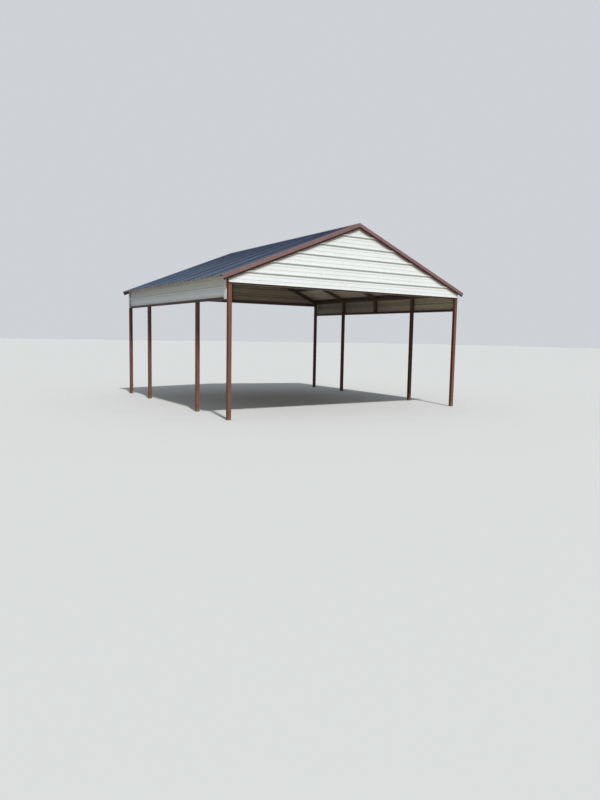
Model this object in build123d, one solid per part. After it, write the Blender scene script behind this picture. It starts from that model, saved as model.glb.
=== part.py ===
from build123d import *

import os
from math import cos, floor, radians, sin, sqrt, tan

# Open steel carport: square-tube frame on eight legs, ribbed gable roof, ribbed gable ends and side skirts.
# X runs across, Y from front (-Y) to back, Z up. The origin is on the ground, at the middle of the plan.
# Everything is built on the right-hand side (+X) or the front (-Y), and mirrored to the other.

# Frame, in millimetres
width = 6121.4  # over the outer faces of the legs, side to side
length = 6096.0  # over the outer faces of the end legs, front to back
bay_count = 4  # spaces between the bents
leg_height = 2680.0  # ground to the underside of the rafter, on the leg's centre line
roof_angle = 22.05  # degrees from level
tube = 76.2  # square tube of the whole frame, apart from the skirt rails
tube_wall = 2.1
tube_corner = 5.0  # outer radius of the tubes' corners
skirt_tube = 50.8  # square tube along the bottom of each side skirt
tie_drop = 30.0  # tie beam's underside, below the gable sheet's lower edge
brace_drop = 260.0  # top of the peak brace, below the underside of the rafters at the ridge

# Purlins, hat-shaped channels that lie along the roof
purlin_count = 5  # on each slope
hat_depth = 38.0
hat_crown = 38.0  # width of the flat crown
hat_base = 58.0  # width between the flanges
hat_flange = 20.0
hat_sheet = 1.2
ridge_purlin_run = 111.0  # from the ridge to the middle of the top purlin, in plan
eave_purlin_inset = 50.0  # from the leg's outer face to the middle of the lowest purlin, in plan

# Ribbed sheet, the same on the roof, gables and skirts
sheet = 0.5
rib_pitch = 228.6
rib_height = 19.0
rib_crown = 25.0
rib_foot = 57.0
minor_height = 3.0
minor_crown = 12.0
minor_foot = 24.0
minor_offset = 76.2  # from a rib's centre to each minor rib beside it

# Roof
eave_overhang = 142.3  # roof sheet beyond the legs' outer faces, in plan
end_overhang = 38.1  # roof sheet beyond the end legs' outer faces
ridge_gap = 8.0  # half of the gap between the two slopes' sheets, along the slope
cap_wing = 165.0  # half of the ridge cap, along the slope
cap_hem = 12.0
rake_top = 130.0  # width of the rake trim on the roof
rake_face = 68.6  # height of the rake trim's face, square to the slope
rake_return = 33.0  # height of the return below the face, which leans back to the gable
rake_return_lean = 14.0  # how far the return leans back

# Gables and skirts
gable_drop = 50.0  # gable sheet's lower edge, below the rafters' underside at the legs
gable_clearance = 1.0  # gable sheet below the roof sheet, square to the slope
skirt_drop = 362.0  # skirt's lower edge, below the rafters' underside at the legs
skirt_ribs = 2  # height of the side skirt, in rib pitches
skirt_rail_drop = 12.0  # skirt rail below the skirt's lower edge
corner_trim_side = 80.0  # corner trim's leg along the skirt
edge_trim_face = 38.0  # height of the trim on the skirt's lower edge

# Worked out from the sizes above
slope = radians(roof_angle)
roof_rise = tan(slope)  # for each unit of run
leg_x = (width - tube) / 2
end_y = (length - tube) / 2
bay = 2 * end_y / bay_count
bent_y = [-end_y + bay * i for i in range(bay_count + 1)]
short_leg_bents = [bay_count // 2]  # bents whose legs stop at the skirt rail, counted from 0
rafter_plane_z = leg_height + roof_rise * leg_x  # underside of the rafters, carried up to the ridge line
roof_half = length / 2 + end_overhang
pan_level = tube + hat_depth  # underside of the roof sheet, above the rafters' underside
crown_level = pan_level + sheet + rib_height  # top of the roof's ribs, from the same plane
slope_end = (width / 2 + eave_overhang - pan_level * sin(slope)) / cos(slope)
gable_bottom = leg_height - gable_drop
tie_bottom = gable_bottom - tie_drop
skirt_bottom = leg_height - skirt_drop
skirt_top = skirt_bottom + skirt_ribs * rib_pitch
skirt_half = length / 2 - tube
outer_face = width / 2
crown_face = outer_face + sheet + rib_height
skirt_rail_z = skirt_bottom - skirt_rail_drop


def slope_plane(level, y=0.0):
    """Plane across the right slope: local x is +Y, local y is square to the slope, local z runs down it."""
    origin = (level * sin(slope), y, rafter_plane_z + level * cos(slope))
    return Plane(origin=origin, x_dir=(0, 1, 0), z_dir=(cos(slope), 0, -sin(slope)))


def run_at(x, level):
    """Distance down the slope, on the layer at this level, of the point over x."""
    return (x - level * sin(slope)) / cos(slope)


def leg_tube(run):
    """Square tube with rounded outer corners, centred on local z, from z = 0."""
    bore = tube - 2 * tube_wall
    return extrude(RectangleRounded(tube, tube, tube_corner) - Rectangle(bore, bore), run)


def square_tube(side, run):
    """Square tube for the many lengths over head: one flat stands for each rounded corner."""
    bore = side - 2 * tube_wall
    corner_flat = tube_corner * (2 - sqrt(2))
    outside = chamfer(Rectangle(side, side).vertices(), corner_flat)
    return extrude(outside - Rectangle(bore, bore), run)


def tube_along_y(side, x, z, y_start, y_end):
    """Square tube that runs along Y, with its section centred on x and z."""
    start = Plane(origin=(x, y_start, z), x_dir=(1, 0, 0), z_dir=(0, 1, 0))
    return start * square_tube(side, y_end - y_start)


def tube_along_x(side, y, z, x_start, x_end):
    """Square tube that runs along X, with its section centred on y and z."""
    start = Plane(origin=(x_start, y, z), x_dir=(0, 1, 0), z_dir=(1, 0, 0))
    return start * square_tube(side, x_end - x_start)


def left_of(part):
    """The same piece on the left-hand side."""
    return mirror(part, about=Plane.YZ)


def back_of(part):
    """The same piece at the back."""
    return mirror(part, about=Plane.XZ)


def folded_section(points, thickness):
    """Closed section of a folded sheet: the points run along one side, the other side is on their left."""
    offset_points = []
    for i, (x, y) in enumerate(points):
        before = points[max(i - 1, 0)]
        after = points[min(i + 1, len(points) - 1)]
        normals = []
        for a, b in ((before, (x, y)), ((x, y), after)):
            run = sqrt((b[0] - a[0]) ** 2 + (b[1] - a[1]) ** 2)
            if run > 0:
                normals.append((-(b[1] - a[1]) / run, (b[0] - a[0]) / run))
        first = normals[0]
        last = normals[-1]
        reach = thickness / (1 + first[0] * last[0] + first[1] * last[1])
        offset_points.append((x + (first[0] + last[0]) * reach, y + (first[1] + last[1]) * reach))
    return make_face(Polyline(*points, *reversed(offset_points), close=True))


def rib_points(centre, crown, foot, height):
    """The four corners of one rib."""
    return [
        (centre - foot / 2, 0.0),
        (centre - crown / 2, height),
        (centre + crown / 2, height),
        (centre + foot / 2, 0.0),
    ]


def ribbed_section(start, end, one_rib, half_rib_first=False):
    """Section of the ribbed sheet, with its back on local y = 0 and one_rib at the middle of any rib."""
    points = [(start, 0.0)]
    if half_rib_first:
        points = rib_points(start, rib_crown, rib_foot, rib_height)[2:]
        points.insert(0, (start, rib_height))
    centre = one_rib + rib_pitch * floor((start - one_rib) / rib_pitch)
    while centre < end + rib_foot:
        for offset, crown, foot, height in (
            (0.0, rib_crown, rib_foot, rib_height),
            (minor_offset, minor_crown, minor_foot, minor_height),
            (rib_pitch - minor_offset, minor_crown, minor_foot, minor_height),
        ):
            middle = centre + offset
            if middle - foot / 2 > start and middle + foot / 2 < end:
                points += rib_points(middle, crown, foot, height)
        centre += rib_pitch
    points.append((end, 0.0))
    return folded_section(points, sheet)


def leg(y):
    """Right-hand leg from the ground to its rafter, with its top cut to the slope."""
    post = Pos(leg_x, y, 0) * leg_tube(leg_height + tube)
    return split(post, bisect_by=under_rafters(), keep=Keep.BOTTOM)


def short_leg(y):
    """Right-hand leg that stands on the skirt rail instead of the ground."""
    foot = skirt_rail_z + skirt_tube
    post = Pos(leg_x, y, foot) * leg_tube(leg_height + tube - foot)
    return split(post, bisect_by=under_rafters(), keep=Keep.BOTTOM)


def under_rafters():
    """The plane of the right-hand rafters' undersides, facing up."""
    return Plane(origin=(0, 0, rafter_plane_z), x_dir=(0, 1, 0), z_dir=(sin(slope), 0, cos(slope)))


def rafter(y):
    """Right-hand rafter, plumb cut at the ridge and over the leg's outer face."""
    overrun = 2 * tube
    beam = slope_plane(tube / 2, y) * Pos(0, 0, -overrun) * square_tube(tube, slope_end + 2 * overrun)
    beam = split(beam, bisect_by=Plane.YZ, keep=Keep.TOP)
    return split(beam, bisect_by=Plane.YZ.offset(outer_face), keep=Keep.BOTTOM)


def peak_brace(y):
    """Level brace under the peak of an inner bent, with its ends cut to the rafters."""
    top = rafter_plane_z - brace_drop
    reach = brace_drop / roof_rise + tube / roof_rise
    brace = tube_along_x(tube, y, top - tube / 2, -reach, reach)
    brace = split(brace, bisect_by=under_rafters(), keep=Keep.BOTTOM)
    return split(brace, bisect_by=left_under_rafters(), keep=Keep.BOTTOM)


def left_under_rafters():
    """The plane of the left-hand rafters' undersides, facing up."""
    return Plane(origin=(0, 0, rafter_plane_z), x_dir=(0, 1, 0), z_dir=(-sin(slope), 0, cos(slope)))


def tie_beam():
    """Front tie beam, between the end legs, behind the gable sheet's lower edge."""
    reach = leg_x - tube / 2
    return tube_along_x(tube, -end_y, tie_bottom + tube / 2, -reach, reach)


def king_post():
    """Front post from the tie beam to the peak, with its top cut to both rafters."""
    foot = tie_bottom + tube
    post = Pos(0, -end_y, foot) * square_tube(tube, rafter_plane_z - foot)
    post = split(post, bisect_by=under_rafters(), keep=Keep.BOTTOM)
    return split(post, bisect_by=left_under_rafters(), keep=Keep.BOTTOM)


def eave_rail():
    """Right-hand eave rail: a length of tube in each bay, between the rafters' ends."""
    top = rafter_plane_z - roof_rise * outer_face + tube / cos(slope)
    lengths = []
    for near, far in zip(bent_y, bent_y[1:]):
        lengths.append(tube_along_y(tube, leg_x, top - tube / 2, near + tube / 2, far - tube / 2))
    return Compound(lengths)


def skirt_rail():
    """Right-hand skirt rail: a length of tube between each two legs that reach the ground."""
    standing = [y for i, y in enumerate(bent_y) if i not in short_leg_bents]
    x = outer_face - skirt_tube / 2
    z = skirt_rail_z + skirt_tube / 2
    lengths = []
    for near, far in zip(standing, standing[1:]):
        lengths.append(tube_along_y(skirt_tube, x, z, near + tube / 2, far - tube / 2))
    return Compound(lengths)


def purlins():
    """Right-hand purlins: hat channels on the rafters, evenly spaced from the ridge to the eave."""
    web = (hat_base - hat_crown) / 2
    outline = [
        (-hat_base / 2 - hat_flange, 0.0),
        (-hat_base / 2, 0.0),
        (-hat_base / 2 + web, hat_depth - hat_sheet),
        (hat_base / 2 - web, hat_depth - hat_sheet),
        (hat_base / 2, 0.0),
        (hat_base / 2 + hat_flange, 0.0),
    ]
    first = run_at(ridge_purlin_run, tube)
    last = run_at(outer_face - eave_purlin_inset, tube)
    channels = []
    for i in range(purlin_count):
        run = first + (last - first) * i / (purlin_count - 1)
        start = slope_plane(tube, -length / 2) * Pos(0, 0, run)
        across = Plane(origin=start.position, x_dir=(cos(slope), 0, -sin(slope)), z_dir=(0, 1, 0))
        section = folded_section([(x, -y) for x, y in reversed(outline)], hat_sheet)
        channels.append(across * extrude(section, length))
    return Compound(channels)


def roof_sheet():
    """Right-hand slope of ribbed sheet, its ribs running from ridge to eave, one of them midway."""
    section = ribbed_section(-roof_half, roof_half, 0)
    return slope_plane(pan_level) * Pos(0, 0, ridge_gap) * extrude(section, slope_end - ridge_gap)


def ridge_cap():
    """Folded cap over the ridge, with a hemmed edge down each slope."""
    level = crown_level + sheet
    apex = rafter_plane_z + level / cos(slope)
    corners = []
    for along in (cap_wing, cap_wing - cap_hem):
        corners.append((along * cos(slope), apex - along * sin(slope)))
    (edge_x, edge_z), (hem_x, hem_z) = corners
    lift = sheet / cos(slope)
    outline = [
        (edge_x, edge_z),
        (edge_x, edge_z + 2 * lift),
        (hem_x, hem_z + 2 * lift),
        (hem_x, hem_z + lift),
        (0.0, apex + lift),
        (-hem_x, hem_z + lift),
        (-hem_x, hem_z + 2 * lift),
        (-edge_x, edge_z + 2 * lift),
        (-edge_x, edge_z),
        (0.0, apex),
    ]
    section = make_face(Polyline(*outline, close=True))
    cap_length = 2 * (roof_half + sheet)
    back_end = Plane(origin=(0, cap_length / 2, 0), x_dir=(1, 0, 0), z_dir=(0, -1, 0))
    return back_end * extrude(section, cap_length)


def rake_trim():
    """Front right rake trim: a folded angle over the roof's edge, with a return that leans to the gable."""
    top = crown_level + sheet
    face = -roof_half - sheet
    outline = [
        (face + rake_return_lean, top - rake_face - rake_return),
        (face, top - rake_face),
        (face, top),
        (-roof_half + rake_top, top),
    ]
    section = folded_section([(y, level) for y, level in reversed(outline)], sheet)
    overrun = 2 * tube
    strip = slope_plane(0) * Pos(0, 0, -overrun) * extrude(section, slope_end + overrun)
    return split(strip, bisect_by=Plane.YZ, keep=Keep.TOP)


def gable_sheet():
    """Front gable: ribbed sheet with level ribs, half a rib at its foot and its top cut to both slopes."""
    top = rafter_plane_z + pan_level / cos(slope)
    section = ribbed_section(gable_bottom, top, gable_bottom, half_rib_first=True)
    end = Plane(origin=(-outer_face, -length / 2, 0), x_dir=(0, 0, 1), z_dir=(1, 0, 0))
    ribbed = end * extrude(section, width)
    for side in (1, -1):
        origin = (0, 0, rafter_plane_z + (pan_level - gable_clearance) / cos(slope))
        roof_line = Plane(origin=origin, x_dir=(0, 1, 0), z_dir=(side * sin(slope), 0, cos(slope)))
        ribbed = split(ribbed, bisect_by=roof_line, keep=Keep.BOTTOM)
    return ribbed


def side_skirt():
    """Right-hand skirt: ribbed sheet with level ribs, on the outer faces of the legs and rails."""
    section = ribbed_section(skirt_bottom, skirt_top, skirt_bottom + rib_pitch)
    end = Plane(origin=(outer_face, -skirt_half, 0), x_dir=(0, 0, 1), z_dir=(0, 1, 0))
    return end * extrude(section, 2 * skirt_half)


def corner_trim():
    """Front right corner trim: a folded angle over the end of the skirt."""
    outline = [
        (outer_face, -skirt_half),
        (crown_face, -skirt_half),
        (crown_face, -skirt_half + corner_trim_side),
    ]
    section = folded_section(list(reversed(outline)), sheet)
    return Pos(0, 0, skirt_bottom - sheet) * extrude(section, skirt_top - skirt_bottom + sheet)


def edge_trim():
    """Right-hand trim that wraps the lower edge of the skirt, between the corner trims."""
    outline = [
        (outer_face, skirt_bottom),
        (crown_face, skirt_bottom),
        (crown_face, skirt_bottom + edge_trim_face),
    ]
    section = folded_section(list(reversed(outline)), sheet)
    reach = skirt_half - corner_trim_side
    end = Plane(origin=(0, reach, 0), x_dir=(1, 0, 0), z_dir=(0, -1, 0))
    return end * extrude(section, 2 * reach)


def build():
    """Every node of the carport, by name."""
    nodes = {}
    for i, y in enumerate(bent_y):
        number = i + 1
        if i not in short_leg_bents:
            nodes[f"right_leg_{number}"] = leg(y)
            nodes[f"left_leg_{number}"] = left_of(leg(y))
        nodes[f"right_rafter_{number}"] = rafter(y)
        nodes[f"left_rafter_{number}"] = left_of(rafter(y))
    short_legs = [short_leg(bent_y[i]) for i in short_leg_bents]
    nodes["short_legs"] = Compound(short_legs + [left_of(piece) for piece in short_legs])
    nodes["peak_braces"] = Compound([peak_brace(y) for y in bent_y[1:-1]])
    for name, make in (("eave_rail", eave_rail), ("skirt_rail", skirt_rail), ("purlins", purlins),
                       ("roof_sheet", roof_sheet), ("side_skirt", side_skirt), ("edge_trim", edge_trim)):
        nodes[f"right_{name}"] = make()
        nodes[f"left_{name}"] = left_of(make())
    for name, make in (("tie_beam", tie_beam), ("king_post", king_post), ("gable_sheet", gable_sheet)):
        nodes[f"front_{name}"] = make()
        nodes[f"back_{name}"] = back_of(make())
    corner_trims = Compound([corner_trim(), back_of(corner_trim())])
    nodes["right_corner_trims"] = corner_trims
    nodes["left_corner_trims"] = left_of(corner_trims)
    nodes["front_right_rake_trim"] = rake_trim()
    nodes["front_left_rake_trim"] = left_of(rake_trim())
    nodes["back_right_rake_trim"] = back_of(rake_trim())
    nodes["back_left_rake_trim"] = left_of(back_of(rake_trim()))
    nodes["ridge_cap"] = ridge_cap()
    return nodes


os.makedirs("parts", exist_ok=True)
for name, node in build().items():
    export_step(node, f"parts/{name}.step")
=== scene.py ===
import random
from math import cos, pi, radians, sin, tan

import bpy
from mathutils import Matrix, Vector

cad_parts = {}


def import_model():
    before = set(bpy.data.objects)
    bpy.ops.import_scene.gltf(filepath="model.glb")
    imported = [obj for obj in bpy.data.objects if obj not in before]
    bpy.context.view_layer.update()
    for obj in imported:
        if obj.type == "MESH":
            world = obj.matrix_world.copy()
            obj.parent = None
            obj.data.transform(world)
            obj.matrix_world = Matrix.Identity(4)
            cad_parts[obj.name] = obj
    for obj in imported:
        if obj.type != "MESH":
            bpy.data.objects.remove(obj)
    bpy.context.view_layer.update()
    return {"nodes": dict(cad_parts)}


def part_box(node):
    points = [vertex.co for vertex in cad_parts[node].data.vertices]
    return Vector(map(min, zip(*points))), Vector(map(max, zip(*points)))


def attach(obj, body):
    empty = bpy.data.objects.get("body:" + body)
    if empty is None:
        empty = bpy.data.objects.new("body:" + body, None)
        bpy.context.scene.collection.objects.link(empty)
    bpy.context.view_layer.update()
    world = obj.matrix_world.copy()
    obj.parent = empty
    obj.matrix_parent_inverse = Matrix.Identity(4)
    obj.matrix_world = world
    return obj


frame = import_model()
random.seed(7)

# Sizes of the real parts, in metres
roof_angle = radians(22.05)
rib_pitch = 0.2286
rib_height = 0.019
rib_crown = 0.025
rib_foot = 0.057
ribs_per_sheet = 4
sheet_width = ribs_per_sheet * rib_pitch
sheet = 0.0005
hat_depth = 0.038
purlin_count = 5
ridge_purlin_run = 0.111  # from the ridge to the top purlin, in plan
eave_purlin_inset = 0.050  # from the legs' outer faces to the lowest purlin, in plan
cap_wing = 0.165  # half of the ridge cap, along the slope
rake_top = 0.130  # width of the rake trim on the roof

# Sizes of the added details, in metres
beside_rib = 0.046  # from a rib's middle to the screws on the flat next to it
clearance = 0.02  # kept between a screw or a lap and the next piece or the sheet's edge
row_spacing = 2 * rib_pitch  # between screws along a gable's or a skirt's edges
lap_lift = 0.0010  # thickness of a lapping edge, as it shows
lap_lip = 0.012  # flat beside the rib, on the lapping sheet's side
lap_gap = 0.0001  # air under a lapping edge
bead_radius = 0.0032
bead_sides = 6

# Places read from the frame
leg_low, leg_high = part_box("right_leg_1")
rafter_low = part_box("right_rafter_1")[0]
roof_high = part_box("right_roof_sheet")[1]
gable_low, gable_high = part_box("front_gable_sheet")
skirt_low, skirt_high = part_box("right_side_skirt")
edge_low, edge_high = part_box("right_edge_trim")
tie_low, tie_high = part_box("front_tie_beam")
skirt_rail_low, skirt_rail_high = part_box("right_skirt_rail")
eave_rail_low, eave_rail_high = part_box("right_eave_rail")
brace_low, brace_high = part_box("peak_braces")
outer_face = leg_high.x
leg_face = abs(leg_low.y)  # front face of the front legs, from the middle
tube = leg_high.x - leg_low.x
half_tube = tube / 2
leg_x = outer_face - half_tube
bent_y = [sum(corner.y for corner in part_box(f"right_rafter_{i}")) / 2 for i in (1, 2, 3, 4, 5)]
rise = tan(roof_angle)
ridge_z = rafter_low.z + rise * outer_face  # rafters' undersides, carried up to the ridge line
pan_level = tube + hat_depth + sheet  # outer face of the roof's flats, above the rafters' undersides
crown_level = pan_level + rib_height
slope_end = (roof_high.x - crown_level * sin(roof_angle)) / cos(roof_angle)
end_rib = int(roof_high.y / rib_pitch)


def on_slope(side, run, y, level):
    """Point on a slope: run down from the ridge line, level above the rafters' undersides."""
    x = run * cos(roof_angle) + level * sin(roof_angle)
    return Vector((side * x, y, ridge_z - run * sin(roof_angle) + level * cos(roof_angle)))


def slope_normal(side):
    """Direction straight out of a slope, side being 1 for the right and -1 for the left."""
    return Vector((side * sin(roof_angle), 0, cos(roof_angle)))


def run_over(x, level):
    """Distance down the slope, on the layer at this level, of the point over x."""
    return (x - level * sin(roof_angle)) / cos(roof_angle)


def gable_top(x):
    """Height of the roof sheet's underside over x."""
    return ridge_z + (pan_level - sheet) / cos(roof_angle) - rise * abs(x)


def placed(point, normal, turn=0.0):
    """Matrix that stands a small shape on a point, with its +Z along the normal."""
    upright = normal.to_track_quat("Z", "Y").to_matrix().to_4x4()
    return Matrix.Translation(point) @ upright @ Matrix.Rotation(turn, 4, "Z")


# Nodes
def put(tree, socket, value):
    """Links another node's output to a socket, or sets the socket to a number or colour."""
    if isinstance(value, bpy.types.NodeSocket):
        tree.links.new(value, socket)
    else:
        socket.default_value = value


def add_node(tree, kind, inputs=None, **settings):
    """New node with its settings, and with each input set to a value or linked to another node."""
    made = tree.nodes.new(kind)
    for name, value in settings.items():
        setattr(made, name, value)
    for name, value in (inputs or {}).items():
        put(tree, made.inputs[name], value)
    return made


def split(tree, vector):
    """A vector's parts, under "X", "Y" and "Z"."""
    return add_node(tree, "ShaderNodeSeparateXYZ", {"Vector": vector}).outputs


def smooth_range(tree, value, low, high, start=0.0, end=1.0):
    """Value taken smoothly from start, at low, to end, at high."""
    inputs = {"Value": value, "From Min": low, "From Max": high, "To Min": start, "To Max": end}
    made = add_node(tree, "ShaderNodeMapRange", inputs, interpolation_type="SMOOTHSTEP")
    return made.outputs["Result"]


def opaque(colour):
    """A colour of three numbers with its alpha, and a node's output as it is."""
    return (*colour, 1.0) if isinstance(colour, tuple) else colour


def mix_colours(tree, factor, first, second, blend="MIX"):
    """First colour taken toward the second, by a factor from 0 to 1."""
    inputs = {0: factor, 6: opaque(first), 7: opaque(second)}
    return add_node(tree, "ShaderNodeMix", inputs, data_type="RGBA", blend_type=blend).outputs[2]


class Paint:
    """A material's nodes, with short calls for what the finishes here use."""

    def __init__(self, name):
        self.material = bpy.data.materials.new(name)
        self.material.use_nodes = True
        self.tree = self.material.node_tree
        self.tree.nodes.clear()
        self.shader = self.add("ShaderNodeBsdfPrincipled")
        self.add("ShaderNodeOutputMaterial", {"Surface": self.shader.outputs["BSDF"]})
        self.place = self.add("ShaderNodeTexCoord").outputs["Object"]
        self.axes = split(self.tree, self.place)
        self.facing = split(self.tree, self.add("ShaderNodeNewGeometry").outputs["True Normal"])

    def add(self, kind, inputs=None, **settings):
        return add_node(self.tree, kind, inputs, **settings)

    def math(self, operation, first, second=0.0):
        return self.add("ShaderNodeMath", {0: first, 1: second}, operation=operation).outputs[0]

    def times(self, first, second):
        return self.math("MULTIPLY", first, second)

    def larger(self, first, second):
        return self.math("MAXIMUM", first, second)

    def noise(self, scale, detail=3.0, stretch=(1, 1, 1), roughness=0.5):
        """Noise from 0 to 1, with scale in cycles a metre and each axis squeezed by stretch."""
        inputs = {0: self.place, 1: stretch}
        vector = self.add("ShaderNodeVectorMath", inputs, operation="MULTIPLY").outputs[0]
        inputs = {"Vector": vector, "Scale": scale, "Detail": detail, "Roughness": roughness}
        return self.add("ShaderNodeTexNoise", inputs).outputs["Fac"]

    def between(self, value, low, high, start=0.0, end=1.0):
        return smooth_range(self.tree, value, low, high, start, end)

    def clouds(self, scale, start=0.0, end=1.0, detail=3.0):
        """Soft patches from start to end, with scale in cycles a metre."""
        noise_low, noise_high = 0.3, 0.7
        return self.between(self.noise(scale, detail), noise_low, noise_high, start, end)

    def mix(self, factor, first, second):
        return mix_colours(self.tree, factor, first, second)

    def tint(self, colour, value):
        """Colour made darker or lighter by a grey value, 1 for no change."""
        grey = self.add("ShaderNodeCombineColor", {0: value, 1: value, 2: value}).outputs[0]
        return mix_colours(self.tree, 1.0, colour, grey, "MULTIPLY")

    def bump(self, height, depth, normal=None):
        """Surface normal from a height of 0 to 1 that stands for depth metres."""
        inputs = {"Height": height, "Distance": depth, "Strength": 1.0}
        if normal is not None:
            inputs["Normal"] = normal
        return self.add("ShaderNodeBump", inputs).outputs["Normal"]

    def finish(self, colour, roughness, normal, **constants):
        """The finished material, with the constants set on the shader's own sockets."""
        put(self.tree, self.shader.inputs["Base Color"], colour)
        put(self.tree, self.shader.inputs["Roughness"], roughness)
        put(self.tree, self.shader.inputs["Normal"], normal)
        for name, value in constants.items():
            self.shader.inputs[name.replace("_", " ")].default_value = value
        return self.material


# Where on the carport a point is, for the materials
def outward(p, axis):
    """1 on faces turned away from the carport's middle along an axis, and 0 on the faces behind them."""
    away = p.times(p.facing[axis], p.math("SIGN", p.axes[axis]))
    return p.between(away, -0.05, 0.05)


def upward(p):
    """1 on faces turned up, and 0 on the faces under them."""
    return p.between(p.facing["Z"], -0.05, 0.05)


def in_weather(p):
    """1 on the frame's outer faces, which the weather reaches, and 0 elsewhere and on the tie beams."""
    inside = 0.004
    edge = 0.002
    across = p.math("ABSOLUTE", p.axes["X"])
    along = p.math("ABSOLUTE", p.axes["Y"])
    at_end = p.between(along, leg_face - inside, leg_face - edge)
    at_side = p.between(across, outer_face - inside, outer_face - edge)
    beside_tie = p.between(across, tie_high.x, tie_high.x + edge)
    return p.times(p.larger(at_end, at_side), beside_tie)


def from_rib(p, along, first_rib):
    """Distance from the nearest rib's middle, in rib pitches: 0 to 0.5."""
    place = p.math("DIVIDE", p.math("SUBTRACT", along, first_rib), rib_pitch)
    middle = p.math("FRACT", p.math("ADD", place, 0.5))
    return p.math("ABSOLUTE", p.math("SUBTRACT", middle, 0.5))


def rib_dirt_and_shade(p, away):
    """Dirt and painted shade in the corner beside each rib: 1 at its foot, down to 0 on the flats."""
    foot = rib_foot / 2 / rib_pitch
    return p.times(p.between(away, foot * 0.6, foot), p.between(away, foot, 2.2 * foot, 1.0, 0.0))


def minor_dirt(p, away):
    """Dust along the two shallow ribs between each pair of ribs: 1 on them, 0 elsewhere."""
    shallow_rib = 1 / 3
    off = p.math("ABSOLUTE", p.math("SUBTRACT", away, shallow_rib))
    return p.between(off, 0.01, 0.055, 1.0, 0.0)


def sheet_tone(p, along, start):
    """Small change of tone from one sheet to the next, as good as random."""
    number = p.math("FLOOR", p.math("DIVIDE", p.math("SUBTRACT", along, start), sheet_width))
    wave = p.math("SINE", p.math("ADD", number, 4.0))
    shift = p.math("FRACT", p.times(wave, 43.7))
    return p.between(shift, 0, 1, 0.965, 1.0)


# Finishes, with their colours in linear light
ground_dust = (0.33, 0.27, 0.20)


def fading_and_painted_light(p, faded_and_sunlit_paint, weathered):
    """Lighter faded paint on the tubes' sunny front faces and darker paint on the rest, partly real sun
    fading and partly painted sunlight and shade, with a darker painted shade on the right-hand legs' inner
    faces deep under the roof.
    """
    # painted shade in part: the darker unfaded brown also stands for the shade on faces the sun doesn't
    # light
    unfaded_and_shaded_paint = (0.116, 0.045, 0.033)
    # painted shade on the inner faces of the right-hand legs behind the front ones
    shaded_paint = (0.080, 0.029, 0.021)
    facing_front = p.between(p.facing["Y"], -0.9, -0.6, 1.0, 0.0)
    open_side = p.larger(weathered, p.between(p.axes["X"], -1.0, 1.0, 1.0, 0.0))
    right_half = p.between(p.axes["X"], 0.0, 1.0)
    behind_front_leg = p.between(p.axes["Y"], -2.95, -2.6)
    facing_inward = p.between(p.facing["X"], 0.2, 0.6, 1.0, 0.0)
    shaded = p.times(p.times(right_half, behind_front_leg), facing_inward)
    unfaded_and_shaded_brown = p.mix(shaded, unfaded_and_shaded_paint, shaded_paint)
    return p.mix(p.times(facing_front, open_side), unfaded_and_shaded_brown, faded_and_sunlit_paint)


def ground_wear(p, body):
    """Rust, dust and chips low on the legs: the worn paint, how worn it is, and where it is chipped."""
    rust_colour = (0.175, 0.082, 0.032)
    rusted_chip = (0.13, 0.05, 0.022)
    height = p.axes["Z"]
    rust_band = p.times(p.between(height, 0.02, 0.06), p.between(height, 0.13, 0.25, 1.0, 0.0))
    rust_spots = p.between(p.noise(30.0, 5.0, (1, 1, 0.4)), 0.32, 0.62, 0.05, 0.75)
    rust = p.times(rust_band, rust_spots)
    body = p.mix(rust, body, rust_colour)
    dust_film = p.between(height, 0.20, 1.30, 0.07, 0.0)
    body = p.mix(dust_film, body, ground_dust)
    splashed = p.between(height, 0.01, 0.10, 1.0, 0.0)
    dust = p.times(splashed, p.between(p.noise(26.0, 5.0), 0.30, 0.75, 0.10, 0.65))
    body = p.mix(dust, body, ground_dust)
    fewer_higher = p.between(height, 0.0, 0.20, 0.57, 0.68)
    patches = p.between(p.noise(13.0, 2.0), 0.46, 0.60, 0.06, 0.0)
    chip_noise = p.noise(70.0, 7.0, (1, 1, 0.7), 0.68)
    chips = p.math("GREATER_THAN", chip_noise, p.math("ADD", fewer_higher, patches))
    body = p.mix(chips, body, rusted_chip)
    return body, p.larger(p.larger(dust, rust), chips), chips


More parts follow.
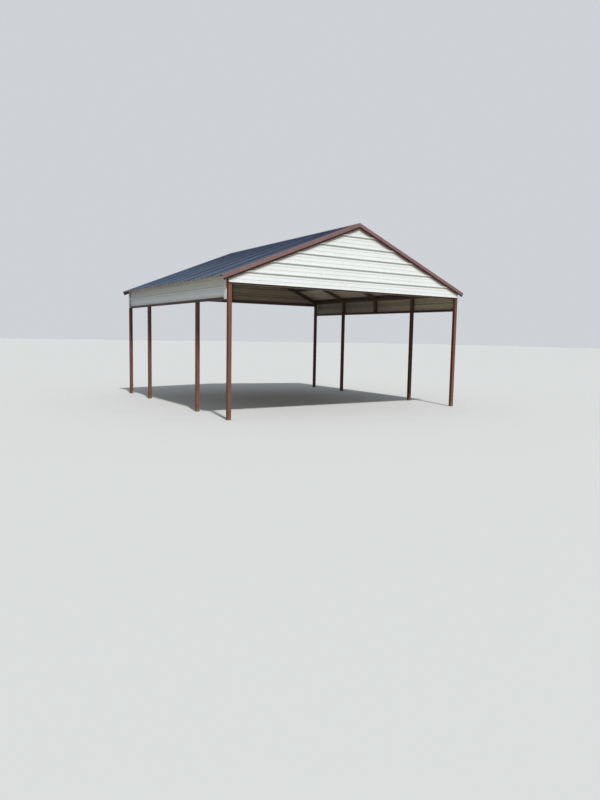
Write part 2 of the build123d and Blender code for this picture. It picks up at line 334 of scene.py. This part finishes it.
def brown_paint(name, colour, shade, grime_and_painted_light, on_tubes):
    """Reddish brown paint on steel: darker underneath with grime and painted shade, with a dull taupe of
    dust and painted sheen on the frame's sheltered faces, and rusty, dusty and a little chipped near the
    ground.
    """
    p = Paint(name)
    body = p.mix(p.clouds(2.2), colour, shade)
    if on_tubes:
        weathered = in_weather(p)
        body = fading_and_painted_light(p, body, weathered)
    streaks = p.between(p.noise(1.0, 2.0, (38, 38, 0.9)), 0.35, 0.75)
    body = p.tint(body, p.between(streaks, 0, 1, 1.06, 0.90))
    # painted shade, with some grime, on faces turned down, such as the rake trims' returns
    grime_and_painted_light_mask = p.between(p.facing["Z"], -0.20, -0.06, 1.0, 0.0)
    if on_tubes:
        # partly dust and partly painted sheen: a dull taupe on the frame's faces under the roof
        above_skirt_edge = p.between(p.axes["Z"], skirt_low.z - 0.02, skirt_low.z + 0.12, 0.0, 0.92)
        sheltered = p.times(above_skirt_edge, p.math("SUBTRACT", 1.0, weathered))
        grime_and_painted_light_mask = p.larger(grime_and_painted_light_mask, sheltered)
    else:
        # painted shade darkening the trims' up-facing flanges
        top_dust_and_shade = (0.075, 0.052, 0.054)
        settled = p.between(p.facing["Z"], 0.80, 0.88, 0.0, 0.9)
        body = p.mix(settled, body, top_dust_and_shade)
    body = p.mix(p.times(grime_and_painted_light_mask, p.clouds(9.0, 0.82, 1.0, 4.0)), body, grime_and_painted_light)
    body, worn, chips = ground_wear(p, body)
    roughness = p.math("ADD", p.clouds(14.0, 0.36, 0.46), p.times(worn, 0.35))
    orange_peel = p.bump(p.noise(420.0, 2.0), 0.00012)
    normal = p.bump(p.times(chips, -1.0), 0.0002, orange_peel)
    return p.finish(body, roughness, normal, Specular_IOR_Level=0.12)


def sheet_bumps(p, stretch, buckle_depth):
    """Normal of a thin painted sheet: a little buckled, with fine grain in its paint."""
    buckle = p.bump(p.noise(1.0, 1.0, stretch), buckle_depth)
    return p.bump(p.noise(600.0, 1.0), 0.00005, buckle)


def taupe_backing(p, away, axis):
    """Backing coat inside the white sheets, dirty and painted darker by the ribs, and on the skirts
    painted lighter toward the front and darker toward the back end, as painted light and shade under the
    roof.
    """
    streak_colour = (0.24, 0.22, 0.18)
    rib_dirt_and_shade_colour = (0.17, 0.155, 0.125)
    backing = p.mix(p.clouds(3.0), (0.44, 0.41, 0.335), (0.38, 0.355, 0.29))
    streaks = p.between(p.noise(1.0, 3.0, (30, 30, 1.5)), 0.55, 0.85, 0.0, 0.16)
    backing = p.mix(streaks, backing, streak_colour)
    # dirt and painted shade in the ribs' grooves
    backing = p.mix(p.times(rib_dirt_and_shade(p, away), 0.60), backing, rib_dirt_and_shade_colour)
    # painted light and shade: the skirts' insides lighter near the open front and darker deep under the
    # roof
    if axis == "X":
        backing = p.tint(backing, p.between(p.axes["Y"], -leg_face, 0.6 * leg_face, 1.40, 0.73))
    return backing


def white_paint(name, coat, axis, first_rib, gloss):
    """White coil-painted sheet with level ribs, streaked by rain, with painted shade under the eave, the
    rake trims and the ribs, and a taupe backing coat inside.
    """
    rib_soil_and_shade = (0.39, 0.43, 0.42)
    shallow_rib_soil = (0.48, 0.47, 0.43)
    rain_soil = (0.45, 0.44, 0.40)
    top_dust_and_shade = (0.49, 0.53, 0.52)
    lower_face_shade_colour = (0.44, 0.53, 0.56)
    eave_shade_colour = (0.41, 0.42, 0.34)
    rake_shadow_colour = (0.31, 0.25, 0.22)
    p = Paint(name)
    height = p.axes["Z"]
    body = p.mix(p.clouds(1.3), coat, tuple(0.965 * part for part in coat))
    body = p.tint(body, sheet_tone(p, height, first_rib))
    runs = p.between(p.noise(1.0, 4.0, (46, 46, 2.2), 0.6), 0.45, 0.80)
    away = from_rib(p, height, first_rib)
    # dirt and painted shadow at each rib's foot, deepening the rib lines
    body = p.mix(p.times(rib_dirt_and_shade(p, away), p.between(runs, 0, 1, 0.16, 0.50)), body, rib_soil_and_shade)
    body = p.mix(p.times(minor_dirt(p, away), 0.06), body, shallow_rib_soil)
    body = p.mix(p.times(runs, 0.04), body, rain_soil)
    # partly dust and partly painted shade, toning down the sunlit upper flanks of the ribs
    settled = p.times(p.between(p.facing["Z"], 0.06, 0.56), p.clouds(11.0, 0.62, 0.86, 4.0))
    body = p.mix(settled, body, top_dust_and_shade)
    # painted shade: a cool grey-blue on faces turned down, such as the ribs' lower flanks
    painted_cool_shade = p.between(p.facing["Z"], -0.60, -0.30, 0.44, 0.0)
    body = p.mix(painted_cool_shade, body, lower_face_shade_colour)
    if axis == "X":
        # painted shade on the skirt's upper part, under the eave
        painted_shade_band = p.between(height, skirt_low.z + 0.12, skirt_high.z, 0.0, 0.46)
        body = p.mix(painted_shade_band, body, eave_shade_colour)
    else:
        # painted shadow of the rake trim on the gable, a band under the roof line
        drop = p.times(p.math("ABSOLUTE", p.axes["X"]), rise)
        below_roof = p.math("SUBTRACT", gable_top(0), p.math("ADD", drop, height))
        painted_shade_band = p.between(below_roof, 0.11, 0.18, 0.72, 0.0)
        body = p.mix(painted_shade_band, body, rake_shadow_colour)
    colour = p.mix(outward(p, axis), taupe_backing(p, away, axis), body)
    roughness = p.clouds(9.0, 0.42, 0.52)
    normal = sheet_bumps(p, (0.5, 0.5, 5.0), 0.0022)
    return p.finish(colour, roughness, normal, Specular_IOR_Level=gloss)


def roof_paint(name):
    """Slate blue coil-painted roof sheet, streaked down the slope, with painted light and shade on the rib
    flanks and a beige backing coat inside.
    """
    ridge_navy = (0.012, 0.024, 0.058)
    rain_soil = (0.16, 0.17, 0.18)
    eave_dust = (0.20, 0.19, 0.18)
    rib_soil_and_shade = (0.030, 0.032, 0.040)
    p = Paint(name)
    along = p.axes["Y"]
    down_slope = p.math("ABSOLUTE", p.axes["X"])
    body = p.mix(p.clouds(0.9), (0.041, 0.063, 0.109), (0.034, 0.053, 0.095))
    body = p.tint(body, sheet_tone(p, along, 0.0))
    body = p.tint(body, p.between(down_slope, 0.0, roof_high.x, 0.62, 1.05))
    body = p.mix(p.between(down_slope, 0.2, 2.0, 0.85, 0.0), body, ridge_navy)
    away = from_rib(p, along, 0.0)
    # painted light and shade on the rib flanks: dark beside each lap and lighter across the sheet
    flank = p.times(p.between(away, 0.04, 0.06), p.between(away, 0.125, 0.150, 1.0, 0.0))
    past_lap = p.math("DIVIDE", p.math("ADD", along, rib_foot - sheet_width / 2), sheet_width)
    flank_light_ramp = p.between(p.math("FRACT", past_lap), 0.05, 0.70, 0.40, 1.35)
    painted_flank_light = p.times(flank, p.math("SUBTRACT", flank_light_ramp, 1.0))
    body = p.tint(body, p.math("ADD", 1.0, painted_flank_light))
    runs = p.between(p.noise(1.0, 4.0, (1.6, 34, 1.6), 0.6), 0.42, 0.80)
    body = p.mix(p.times(runs, 0.08), body, rain_soil)
    low_edge = p.between(down_slope, outer_face - 0.45, roof_high.x, 0.0, 0.20)
    settled = p.times(low_edge, p.between(p.noise(7.0, 5.0), 0.35, 0.7))
    body = p.mix(settled, body, eave_dust)
    body = p.mix(p.times(rib_dirt_and_shade(p, away), 0.25), body, rib_soil_and_shade)
    backing = p.mix(p.clouds(2.4), (0.77, 0.69, 0.59), (0.70, 0.63, 0.535))
    colour = p.mix(upward(p), backing, body)
    roughness = p.clouds(8.0, 0.42, 0.54)
    normal = sheet_bumps(p, (0.8, 4.0, 0.8), 0.0018)
    return p.finish(colour, roughness, normal, Specular_IOR_Level=0.09)


def cap_paint(name):
    """Black paint on the folded ridge cap, dusty in streaks, with a beige backing coat inside."""
    cap_dust = (0.17, 0.16, 0.16)
    backing = (0.40, 0.36, 0.30)
    p = Paint(name)
    body = p.mix(p.clouds(2.0), (0.019, 0.020, 0.027), (0.014, 0.015, 0.021))
    dust = p.between(p.noise(1.0, 4.0, (20, 3, 20), 0.6), 0.45, 0.85, 0.0, 0.14)
    body = p.mix(dust, body, cap_dust)
    colour = p.mix(upward(p), backing, body)
    roughness = p.clouds(10.0, 0.38, 0.50)
    normal = p.bump(p.noise(1.0, 1.0, (9, 1.5, 9)), 0.0012)
    return p.finish(colour, roughness, normal, Specular_IOR_Level=0.15)


def galvanised(name):
    """Zinc-coated steel with its spangle, in dark greys, with dusty patches."""
    spangle_scale = 70.0
    zinc_dust = (0.085, 0.078, 0.068)
    p = Paint(name)
    cells = p.add("ShaderNodeTexVoronoi", {"Vector": p.place, "Scale": spangle_scale})
    tone = p.add("ShaderNodeSeparateColor", {"Color": cells.outputs["Color"]}).outputs[0]
    body = p.mix(tone, (0.105, 0.108, 0.108), (0.165, 0.170, 0.172))
    body = p.mix(p.between(p.noise(5.0, 5.0), 0.45, 0.8, 0.15, 0.75), body, zinc_dust)
    roughness = p.between(tone, 0, 1, 0.48, 0.66)
    normal = p.bump(p.noise(300.0, 2.0), 0.00008)
    return p.finish(body, roughness, normal, Metallic=0.35)


def head_paint(name, colour):
    """Baked paint on a screw's head, rubbed through in spots by the driver."""
    bare_steel = (0.32, 0.31, 0.30)
    p = Paint(name)
    rubbed = p.between(p.noise(240.0, 3.0), 0.60, 0.72)
    body = p.mix(rubbed, colour, bare_steel)
    roughness = p.between(rubbed, 0, 1, 0.42, 0.60)
    normal = p.bump(p.noise(900.0, 2.0), 0.00006)
    return p.finish(body, roughness, normal, Specular_IOR_Level=0.45)


def rubber(name):
    """Weathered black rubber of the washers."""
    p = Paint(name)
    body = p.mix(p.noise(150.0, 3.0), (0.018, 0.018, 0.019), (0.045, 0.044, 0.042))
    roughness = p.clouds(200.0, 0.65, 0.8)
    return p.finish(body, roughness, p.bump(p.noise(700.0, 2.0), 0.00008))


# Colours for the paints' undersides: dust and painted sheen on the frame, painted shade on the trims
frame_dust_and_sheen = (0.120, 0.100, 0.078)
trim_painted_shade = (0.055, 0.014, 0.012)
edge_painted_shade = (0.030, 0.015, 0.012)
frame_brown = brown_paint("frame_brown", (0.200, 0.092, 0.072), (0.170, 0.076, 0.060), frame_dust_and_sheen, True)
trim_brown = brown_paint("trim_brown", (0.243, 0.155, 0.160), (0.214, 0.132, 0.136), trim_painted_shade, False)
# the lower edge trims' brown is made nearly black, painted shade along the skirts' lower edges
edge_shaded_brown = brown_paint("edge_shaded_brown", (0.064, 0.041, 0.035), (0.050, 0.032, 0.027), edge_painted_shade, False)
gable_white = white_paint("gable_white", (0.892, 0.930, 0.938), "Y", gable_low.z, 0.25)
# the skirts' white has a bluer coat than the gables', a painted tint of the sky's light on these shaded
# sides
skirt_white_sky_tinted = white_paint("skirt_white_sky_tinted", (0.860, 0.938, 0.972), "X", skirt_low.z, 0.50)
roof_slate = roof_paint("roof_slate")
cap_black = cap_paint("cap_black")
zinc = galvanised("zinc")
washer_rubber = rubber("washer_rubber")
white_head = head_paint("white_head", (0.78, 0.80, 0.80))
slate_head = head_paint("slate_head", (0.042, 0.056, 0.098))
brown_head = head_paint("brown_head", (0.24, 0.11, 0.09))
black_head = head_paint("black_head", (0.028, 0.029, 0.034))

finishes = {
    "roof_sheet": roof_slate,
    "ridge_cap": cap_black,
    "purlins": zinc,
    "gable_sheet": gable_white,
    "side_skirt": skirt_white_sky_tinted,
    "corner_trims": skirt_white_sky_tinted,
    "rake_trim": trim_brown,
    "edge_trim": edge_shaded_brown,
}


def dress_frame():
    """Gives each node of the frame its finish, and the brown of the tubes where none is named."""
    for name, node in frame["nodes"].items():
        finish = frame_brown
        for ending, material in finishes.items():
            if name.endswith(ending):
                finish = material
        node.data.materials.clear()
        node.data.materials.append(finish)


# Pieces
def piece(name, vertices, faces, materials, kinds=None):
    """New mesh that rides on the carport, with its place in its vertices."""
    mesh = bpy.data.meshes.new(name)
    mesh.from_pydata(vertices, [], faces)
    for material in materials:
        mesh.materials.append(material)
    if kinds:
        mesh.polygons.foreach_set("material_index", kinds)
    mesh.update()
    made = bpy.data.objects.new(name, mesh)
    bpy.context.scene.collection.objects.link(made)
    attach(made, "root")
    return made


def joined(parts):
    """One list of vertices and faces from several."""
    vertices = []
    faces = []
    for part_vertices, part_faces in parts:
        first = len(vertices)
        vertices += part_vertices
        faces += [[first + i for i in face] for face in part_faces]
    return vertices, faces


def repeated(name, shape, places, materials):
    """One piece made of a copy of a small shape at each place."""
    shape_vertices, shape_faces, shape_kinds = shape
    copies = [([place @ corner for corner in shape_vertices], shape_faces) for place in places]
    vertices, faces = joined(copies)
    return piece(name, vertices, faces, materials, shape_kinds * len(places))


def ring_faces(rings, sides):
    """Faces of a closed tube through rings of vertices: its walls, row by row, then its two ends."""
    faces = []
    for ring in range(rings - 1):
        low = ring * sides
        for k in range(sides):
            after = (k + 1) % sides
            faces.append((low + k, low + after, low + sides + after, low + sides + k))
    faces.append(tuple(reversed(range(sides))))
    faces.append(tuple((rings - 1) * sides + k for k in range(sides)))
    return faces


def turned_shape(rings, sides, kinds):
    """Closed shape from rings round +Z: a radius to the flats, a height and 1 for a hexagon in each."""
    vertices = []
    for radius, height, hexagon in rings:
        for k in range(sides):
            reach = radius / cos(pi / 6) if hexagon and k % 2 else radius
            turn = 2 * pi * k / sides
            vertices.append(Vector((reach * cos(turn), reach * sin(turn), height)))
    face_kinds = [kind for kind in kinds for k in range(sides)] + [kinds[0], kinds[-1]]
    return vertices, ring_faces(len(rings), sides), face_kinds


# A screw from the sheet up: rubber washer, steel washer, hexagon head with a chamfer
screw_rings = [
    (0.0070, -0.0004, 0),
    (0.0072, 0.0012, 0),
    (0.0069, 0.0018, 0),
    (0.0050, 0.0025, 0),
    (0.0040, 0.0026, 1),
    (0.0040, 0.0062, 1),
    (0.0034, 0.0068, 1),
]
screw_shape = turned_shape(screw_rings, 12, [1, 0, 0, 0, 0, 0])

# The part of a screw that comes through the purlin, drill point down
tip_rings = [
    (0.0026, 0.0, 0),
    (0.0026, -0.013, 0),
    (0.0006, -0.019, 0),
]
tip_shape = turned_shape(tip_rings, 6, [0, 0])


def screws(name, spots, head):
    """Screws at (point, normal) spots, each a little out of true."""
    most_lean = 0.04
    places = []
    for point, normal in spots:
        lean = Vector([random.uniform(-most_lean, most_lean) for axis in range(3)])
        places.append(placed(point, (normal + lean).normalized(), random.uniform(0, pi)))
    return repeated(name, screw_shape, places, [head, washer_rubber])


def purlin_runs():
    """Distance of each purlin's middle down the slope."""
    first = run_over(ridge_purlin_run, tube)
    last = run_over(outer_face - eave_purlin_inset, tube)
    return [first + (last - first) * i / (purlin_count - 1) for i in range(purlin_count)]


def lap_ribs():
    """The ribs where one roof sheet laps over the next."""
    return list(range(-end_rib + ribs_per_sheet - 1, end_rib, ribs_per_sheet))


def purlin_screw_spots(side):
    """A row along each purlin, one screw beside each rib, and two at the eave and under the ridge cap."""
    most_wander = 0.006
    normal = slope_normal(side)
    spots = []
    for row, run in enumerate(purlin_runs()):
        double = row in (0, purlin_count - 1)
        for rib in range(-end_rib, end_rib + 1):
            for offset in (beside_rib, -beside_rib) if double else (beside_rib,):
                y = rib * rib_pitch + offset
                if abs(y) < roof_high.y - rake_top - clearance:
                    wander = random.uniform(-most_wander, most_wander)
                    spots.append((on_slope(side, run + wander, y, pan_level), normal))
    return spots


def lap_screw_spots(side):
    """Screws down the middles of the lapping ribs."""
    first_run = 0.42
    spacing = 0.61
    last_run = slope_end - 0.05
    level = crown_level + lap_lift + lap_gap
    spots = []
    for rib in lap_ribs():
        run = first_run
        while run < last_run:
            spots.append((on_slope(side, run, rib * rib_pitch, level), slope_normal(side)))
            run += spacing
    return spots


def roof_screws(side, name):
    """A slope's screws, with the points of those that go through the purlins."""
    spots = purlin_screw_spots(side)
    tip_start = sheet + 0.001  # just under the sheet, in the top of the purlin
    tips = [placed(point - normal * tip_start, normal) for point, normal in spots]
    repeated(f"{name}_roof_screw_tips", tip_shape, tips, [zinc])
    shown = [(point, normal) for point, normal in spots if abs(point.x) > cap_wing + clearance]
    shown += lap_screw_spots(side)
    return screws(f"{name}_roof_screws", shown, slate_head)


def lap_section():
    """Outline of a sheet's lapping edge over one rib: along the sheet, and out from it."""
    inner = [
        (-rib_foot / 2 - lap_lip, lap_gap),
        (-rib_foot / 2, lap_gap),
        (-rib_crown / 2, rib_height + lap_gap),
        (rib_crown / 2, rib_height + lap_gap),
        (rib_foot / 2 - 0.004, 0.0050),  # the edge itself, most of the way down the far flank
    ]
    outer = [(along, out + lap_lift) for along, out in inner]
    return inner + outer[::-1]


def extruded(section, start, end, to_place):
    """Vertices and faces of a section carried from start to end, with to_place(along, out, run)."""
    count = len(section)
    vertices = [to_place(along, out, run) for run in (start, end) for along, out in section]
    faces = [(i, (i + 1) % count, count + (i + 1) % count, count + i) for i in range(count)]
    for first in (0, count):
        last = first + count - 1
        for i in range(count // 2 - 1):
            faces.append((first + i, first + i + 1, last - 1 - i, last - i))
    return vertices, faces


def roof_laps(side, name):
    """The lapping edges of the roof sheets."""
    lap_end = slope_end - 0.001
    parts = []
    for rib in lap_ribs():
        def to_place(along, out, run):
            return on_slope(side, run, rib * rib_pitch + along, pan_level + out)
        parts.append(extruded(lap_section(), clearance, lap_end, to_place))
    vertices, faces = joined(parts)
    return piece(f"{name}_roof_laps", vertices, faces, [roof_slate])


def gable_laps(end, name):
    """The lapping edge of the upper gable sheet, over the fourth rib above the gable's lower edge."""
    z = gable_low.z + sheet_width
    reach = (gable_top(0) - z - rib_foot) / rise - clearance
    pan_y = abs(gable_low.y) - rib_height

    def to_place(along, out, run):
        return Vector((run, end * (pan_y + out), z - along))
    vertices, faces = extruded(lap_section(), -reach, reach, to_place)
    return piece(f"{name}_gable_lap", vertices, faces, [gable_white])


def gable_screws(end, name):
    """Screws through the gable sheet, into the tie beam, the rafters and the king post."""
    pan_y = end * (abs(gable_low.y) - rib_height)
    bottom_row_z = gable_low.z + rib_foot / 2 + 0.009
    top_z = gable_top(0) - 0.12
    last_x = gable_high.x - 0.05
    points = []
    count = int(last_x / row_spacing)
    for k in range(-count, count + 1):
        points.append(Vector((k * row_spacing, pan_y, bottom_row_z)))
    z = gable_low.z + rib_pitch - beside_rib
    while z < top_z:
        points.append(Vector((0, pan_y, z)))
        rafter_x = (ridge_z + half_tube / cos(roof_angle) - z) / rise
        if rafter_x < gable_high.x - clearance:
            points += [Vector((side * rafter_x, pan_y, z)) for side in (1, -1)]
        z += rib_pitch
    spots = [(point, Vector((0, end, 0))) for point in points]
    return screws(f"{name}_gable_screws", spots, white_head)


def skirt_screws(side, name):
    """Screws through the skirt, into the legs and the eave rail, and through its lower trim."""
    pan_x = side * (outer_face + sheet)
    normal = Vector((side, 0, 0))
    leg_screw_heights = (0.07, rib_pitch - beside_rib, rib_pitch + beside_rib)
    spots = []
    for y in bent_y[1:-1]:
        for height in leg_screw_heights:
            spots.append((Vector((pan_x, y, skirt_low.z + height)), normal))
    count = int((skirt_high.y - 0.15) / row_spacing)
    row_y = [k * row_spacing for k in range(-count, count + 1)]
    rail_z = (eave_rail_low.z + eave_rail_high.z) / 2
    spots += [(Vector((pan_x, y, rail_z)), normal) for y in row_y]
    screws(f"{name}_skirt_screws", spots, white_head)
    trim_z = (edge_low.z + edge_high.z) / 2
    trim_spots = [(Vector((side * edge_high.x, y, trim_z)), normal) for y in row_y]
    return screws(f"{name}_edge_trim_screws", trim_spots, brown_head)


def cap_screws():
    """Screws through both wings of the ridge cap, into every second rib."""
    run = cap_wing - 0.035
    spots = []
    for side in (1, -1):
        for rib in range(-end_rib + 1, end_rib, 2):
            point = on_slope(side, run, rib * rib_pitch, crown_level + 2 * sheet)
            spots.append((point, slope_normal(side)))
    return screws("ridge_cap_screws", spots, black_head)


def rake_screws():
    """Screws through the tops of the rake trims, into the end ribs."""
    first_run = cap_wing + 0.12
    spacing = 0.46
    last_run = slope_end - 0.04
    spots = []
    for side in (1, -1):
        for end in (1, -1):
            run = first_run
            while run < last_run:
                point = on_slope(side, run, end * end_rib * rib_pitch, crown_level + sheet)
                spots.append((point, slope_normal(side)))
                run += spacing
    return screws("rake_trim_screws", spots, brown_head)


# Welds
def bead(start, end):
    """A weld bead from start to end: a small rippled roll with rounded ends."""
    ripple_length = 0.0028
    ripple = 0.14
    unevenness = 0.05
    end_size = 0.3
    end_growth = 6
    along = end - start
    count = max(4, int(along.length / ripple_length))
    turn = along.to_track_quat("Z", "Y")
    vertices = []
    for i in range(count + 1):
        share = i / count
        taper = min(1.0, end_growth * min(share, 1 - share) + end_size)
        swell = 1 - ripple + ripple * (i % 2) + random.uniform(-unevenness, unevenness)
        radius = bead_radius * taper * swell
        middle = start + along * share
        for k in range(bead_sides):
            angle = 2 * pi * k / bead_sides
            vertices.append(middle + turn @ Vector((radius * cos(angle), radius * sin(angle), 0)))
    return vertices, ring_faces(count + 1, bead_sides)


def level_bead(x, y, z):
    """A bead along Y, as long as the tube is wide, with its middle at a point."""
    return bead(Vector((x, y - half_tube, z)), Vector((x, y + half_tube, z)))


def upright_bead(x, y, low, high):
    """A bead straight up, from one height to another."""
    return bead(Vector((x, y, low)), Vector((x, y, high)))


def open_faces(y):
    """A bent's faces along Y that no gable sheet covers."""
    return [face for face in (half_tube, -half_tube) if abs(y + face) < leg_face - 0.001]


def leg_beads():
    """Welds round the tops of the legs, under the rafters."""
    outer_x = leg_x + half_tube
    inner_x = leg_x - half_tube
    outer_z = ridge_z - rise * outer_x
    inner_z = ridge_z - rise * inner_x
    parts = []
    for side in (1, -1):
        for y in bent_y:
            for face in open_faces(y):
                outer_end = Vector((side * outer_x, y + face, outer_z))
                inner_end = Vector((side * inner_x, y + face, inner_z))
                parts.append(bead(outer_end, inner_end))
            parts.append(level_bead(side * inner_x, y, inner_z))
    return parts


def beam_beads():
    """Welds where the tie beams meet the legs and the king posts."""
    parts = []
    for end in (bent_y[0], bent_y[-1]):
        inner_y = end + (-half_tube if end > 0 else half_tube)
        for side in (1, -1):
            x = side * tie_high.x
            parts.append(level_bead(x, end, tie_low.z))
            parts.append(upright_bead(x, inner_y, tie_low.z, tie_high.z))
            parts.append(level_bead(side * half_tube, end, tie_high.z))
        left_end = Vector((-half_tube, inner_y, tie_high.z))
        right_end = Vector((half_tube, inner_y, tie_high.z))
        parts.append(bead(left_end, right_end))
    return parts


def brace_beads():
    """Welds at the ends of the peak braces and down the rafters' joints at the ridge."""
    low_x = (ridge_z - brace_low.z) / rise
    high_x = (ridge_z - brace_high.z) / rise
    parts = []
    for y in bent_y[1:-1]:
        for side in (1, -1):
            for face in (half_tube, -half_tube):
                low_end = Vector((side * low_x, y + face, brace_low.z))
                high_end = Vector((side * high_x, y + face, brace_high.z))
                parts.append(bead(low_end, high_end))
            parts.append(level_bead(side * low_x, y, brace_low.z))
    top_z = ridge_z + tube / cos(roof_angle)
    for y in bent_y:
        for face in open_faces(y):
            parts.append(upright_bead(0, y + face, ridge_z, top_z))
    return parts


def rail_beads():
    """Welds where the skirt rails and eave rails meet the legs and rafters."""
    middle_bent = len(bent_y) // 2
    standing = [y for i, y in enumerate(bent_y) if i != middle_bent]
    rails = ((standing, skirt_rail_low, skirt_rail_high), (bent_y, eave_rail_low, eave_rail_high))
    parts = []
    for side in (1, -1):
        for places, low, high in rails:
            inner_x = side * low.x
            outer_x = side * high.x
            for near, far in zip(places, places[1:]):
                for y in (near + half_tube, far - half_tube):
                    parts.append(upright_bead(inner_x, y, low.z, high.z))
                    parts.append(bead(Vector((inner_x, y, low.z)), Vector((outer_x, y, low.z))))
    return parts


def welds():
    """All the frame's welds, by place, painted over."""
    by_place = {
        "leg_welds": leg_beads(),
        "beam_welds": beam_beads(),
        "brace_welds": brace_beads(),
        "rail_welds": rail_beads(),
    }
    for name, parts in by_place.items():
        vertices, faces = joined(parts)
        piece(name, vertices, faces, [frame_brown])


# Stage
def seen_rays(tree):
    """1 for rays from the camera and for mirrored and passed ones, 0 for the rest."""
    path = add_node(tree, "ShaderNodeLightPath").outputs
    total = path["Is Camera Ray"]
    for name in ("Is Glossy Ray", "Is Transmission Ray"):
        total = add_node(tree, "ShaderNodeMath", {0: total, 1: path[name]}, operation="MAXIMUM").outputs[0]
    return total


def floor():
    """A plain pale floor, whose light on the carport is that of a mid-grey one, weaker toward the back."""
    front_bounce = (0.36, 0.32, 0.27)
    back_bounce = (0.18, 0.16, 0.138)
    seen_tone = (0.50, 0.50, 0.495)
    front_y = -5.0
    back_y = 3.0
    half_size = 150.0
    top = -0.001
    corners = [(x * half_size, y * half_size, top) for x, y in ((-1, -1), (1, -1), (1, 1), (-1, 1))]
    mesh = bpy.data.meshes.new("floor")
    mesh.from_pydata(corners, [], [(0, 1, 2, 3)])
    material = bpy.data.materials.new("floor")
    material.use_nodes = True
    tree = material.node_tree
    shader = tree.nodes["Principled BSDF"]
    shader.inputs["Roughness"].default_value = 0.9
    shader.inputs["Specular IOR Level"].default_value = 0.1
    axes = split(tree, add_node(tree, "ShaderNodeTexCoord").outputs["Object"])
    depth = smooth_range(tree, axes["Y"], front_y, back_y)
    bounce = mix_colours(tree, depth, front_bounce, back_bounce)
    put(tree, shader.inputs["Base Color"], mix_colours(tree, seen_rays(tree), bounce, seen_tone))
    mesh.materials.append(material)
    made = bpy.data.objects.new("floor", mesh)
    bpy.context.scene.collection.objects.link(made)


def world():
    """Soft light from above, weaker toward the floor, and a pale backdrop where it is seen."""
    sky_colour = (0.86, 0.94, 1.0)
    backdrop_colour = (0.62, 0.64, 0.67)
    low_strength = 0.05
    high_strength = 0.66
    made = bpy.data.worlds.new("studio")
    made.use_nodes = True
    tree = made.node_tree
    tree.nodes.clear()
    direction = split(tree, add_node(tree, "ShaderNodeTexCoord").outputs["Generated"])
    strength = smooth_range(tree, direction["Z"], 0.0, 0.8, low_strength, high_strength)
    even = add_node(tree, "ShaderNodeBackground", {"Color": opaque(sky_colour), "Strength": strength})
    seen = add_node(tree, "ShaderNodeBackground", {"Color": opaque(backdrop_colour), "Strength": 1.0})
    inputs = {0: seen_rays(tree), 1: even.outputs[0], 2: seen.outputs[0]}
    either = add_node(tree, "ShaderNodeMixShader", inputs)
    add_node(tree, "ShaderNodeOutputWorld", {"Surface": either.outputs[0]})
    bpy.context.scene.world = made


def key_light():
    """A soft sun lamp, high over the front and a little to the left."""
    lamp = bpy.data.lights.new("key", "SUN")
    lamp.energy = 3.54
    lamp.angle = radians(3.0)
    lamp.color = (1.0, 0.99, 0.972)
    made = bpy.data.objects.new("key", lamp)
    from_where = Vector((-0.13, -0.60, 1.0))
    made.rotation_euler = from_where.to_track_quat("Z", "Y").to_euler()
    bpy.context.scene.collection.objects.link(made)


def camera():
    """The photograph's viewpoint: at eye height, ahead of the front left leg and to its left."""
    eye = Vector((-8.280, -13.723, 1.622))
    yaw, pitch, roll = 0.57171, -0.10151, 0.01852
    ahead = Vector((sin(yaw) * cos(pitch), cos(yaw) * cos(pitch), sin(pitch)))
    level_right = Vector((cos(yaw), -sin(yaw), 0))
    level_up = level_right.cross(ahead)
    right = cos(roll) * level_right + sin(roll) * level_up
    up = -sin(roll) * level_right + cos(roll) * level_up
    lens = bpy.data.cameras.new("camera")
    lens.lens = 27.823
    lens.clip_end = 500.0
    made = bpy.data.objects.new("camera", lens)
    turn = Matrix((right, up, -ahead)).transposed()
    made.matrix_world = Matrix.Translation(eye) @ turn.to_4x4()
    bpy.context.scene.collection.objects.link(made)
    bpy.context.scene.camera = made


camera()
dress_frame()
for side, name in ((1, "right"), (-1, "left")):
    roof_laps(side, name)
    roof_screws(side, name)
    skirt_screws(side, name)
for end, name in ((-1, "front"), (1, "back")):
    gable_laps(end, name)
    gable_screws(end, name)
cap_screws()
rake_screws()
welds()
floor()
world()
key_light()
bpy.context.scene.view_settings.view_transform = "Standard"
